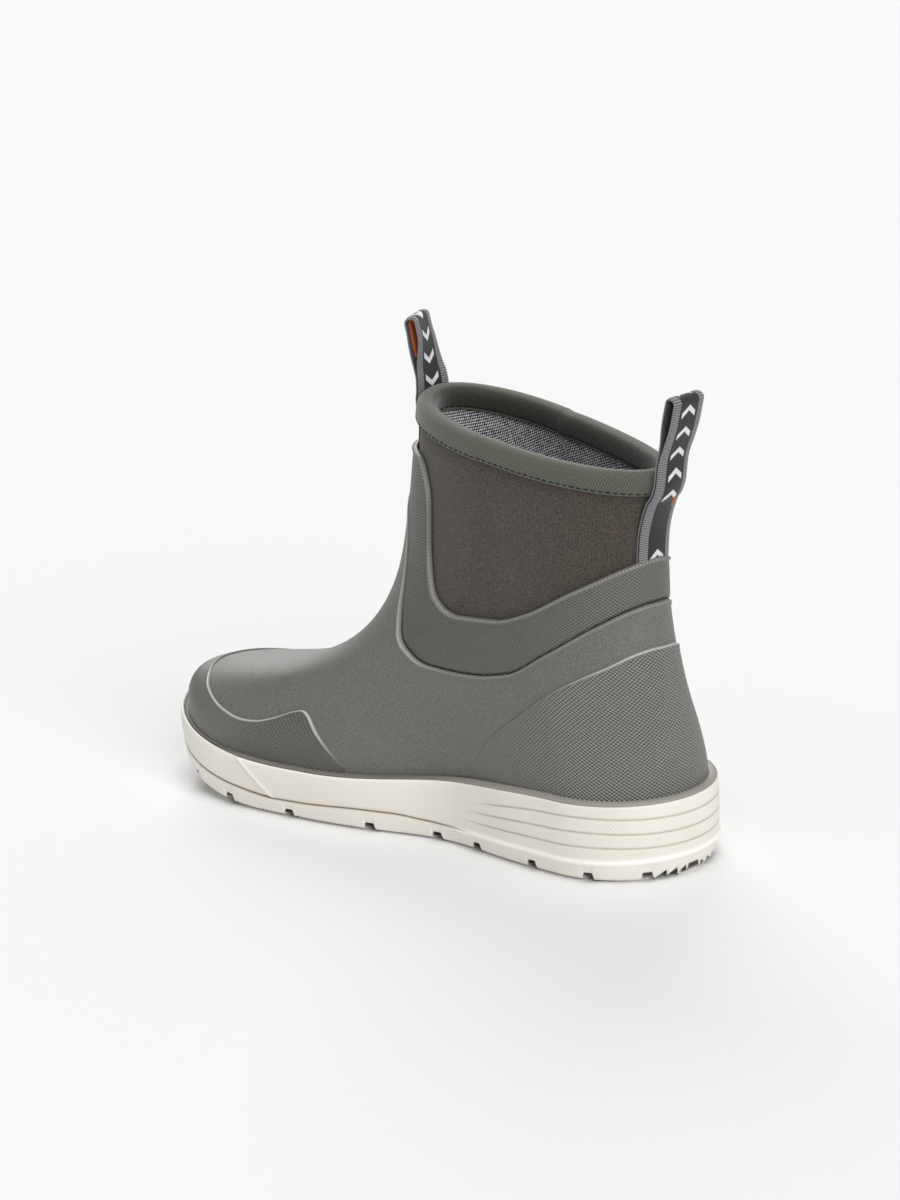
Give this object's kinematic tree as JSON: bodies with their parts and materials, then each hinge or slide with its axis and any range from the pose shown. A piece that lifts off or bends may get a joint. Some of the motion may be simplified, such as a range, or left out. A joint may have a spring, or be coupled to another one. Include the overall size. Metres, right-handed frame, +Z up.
{
  "type": "deck boot",
  "caption": "Ankle-high slip-on rubber deck boot with a neoprene shaft, bound collar, two webbing pull loops and a cushioned off-white slip-resistant sole; right foot.",
  "frame": {"origin": "on the ground, under the middle of the boot's box", "axes": "+X from heel to toe, +Y to the inner (medial) side of the foot, +Z up out of the ground"},
  "size_m": [0.3106, 0.1216, 0.2425],
  "materials": {
    "rubber_shell": "matte, fine grain",
    "rubber_overlay": "matte, fine knurled texture with smooth raised edges",
    "neoprene": "matte brushed jersey face on neoprene",
    "knit_lining": "two-tone tweed knit",
    "sock_liner": "brushed foam-backed knit",
    "binding_tape": "soft ribbed stretch tape",
    "welt": "matte",
    "sole_rubber": "satin off-white rubber, partly textured",
    "midsole_foam": "closed-cell foam",
    "shank_steel": "plain spring steel",
    "insole_board": "pressed fibreboard",
    "footbed_foam": "knit-topped moulded foam",
    "loop_webbing": "woven, grey edges, dark middle with a plain light chevron pattern",
    "loop_tape": "woven accent tape"
  },
  "bodies": {
    "boot": {"rubber_upper": "rubber_shell", "ankle_band": "rubber_overlay", "heel_counter": "rubber_overlay", "toe_bumper": "rubber_overlay", "shaft_panel_lateral": "neoprene", "shaft_panel_medial": "neoprene", "shaft_lining": "knit_lining", "foot_sock": "sock_liner", "collar_binding": "binding_tape", "welt_strip": "welt", "midsole_sidewall": "sole_rubber", "midsole_core": "midsole_foam", "shank": "shank_steel", "insole_board": "insole_board", "outsole": "sole_rubber", "back_loop_sewn": "loop_webbing", "front_loop_sewn": "loop_webbing"},
    "front_loop": {"front_loop_free": "loop_webbing", "front_loop_tape": "loop_tape"},
    "back_loop": {"back_loop_free": "loop_webbing", "back_loop_tape": "loop_tape"},
    "footbed": {"footbed": "footbed_foam"}
  },
  "joints": [
    {"name": "front_loop_hinge", "type": "hinge", "parent": "boot", "child": "front_loop", "pos_m": [0.00568, -0.00247, 0.21055], "axis": [0, 1, 0], "range_deg": [-60, 60], "stiffness_Nm_per_rad": 0.01},
    {"name": "back_loop_hinge", "type": "hinge", "parent": "boot", "child": "back_loop", "pos_m": [-0.1416, -0.00247, 0.1905], "axis": [0, 1, 0], "range_deg": [-60, 60], "stiffness_Nm_per_rad": 0.01},
    {"name": "footbed_lift", "type": "hinge", "parent": "boot", "child": "footbed", "pos_m": [0.13975, -0.00247, 0.0374], "axis": [0, 1, 0], "range_deg": [0, 3]}
  ]
}
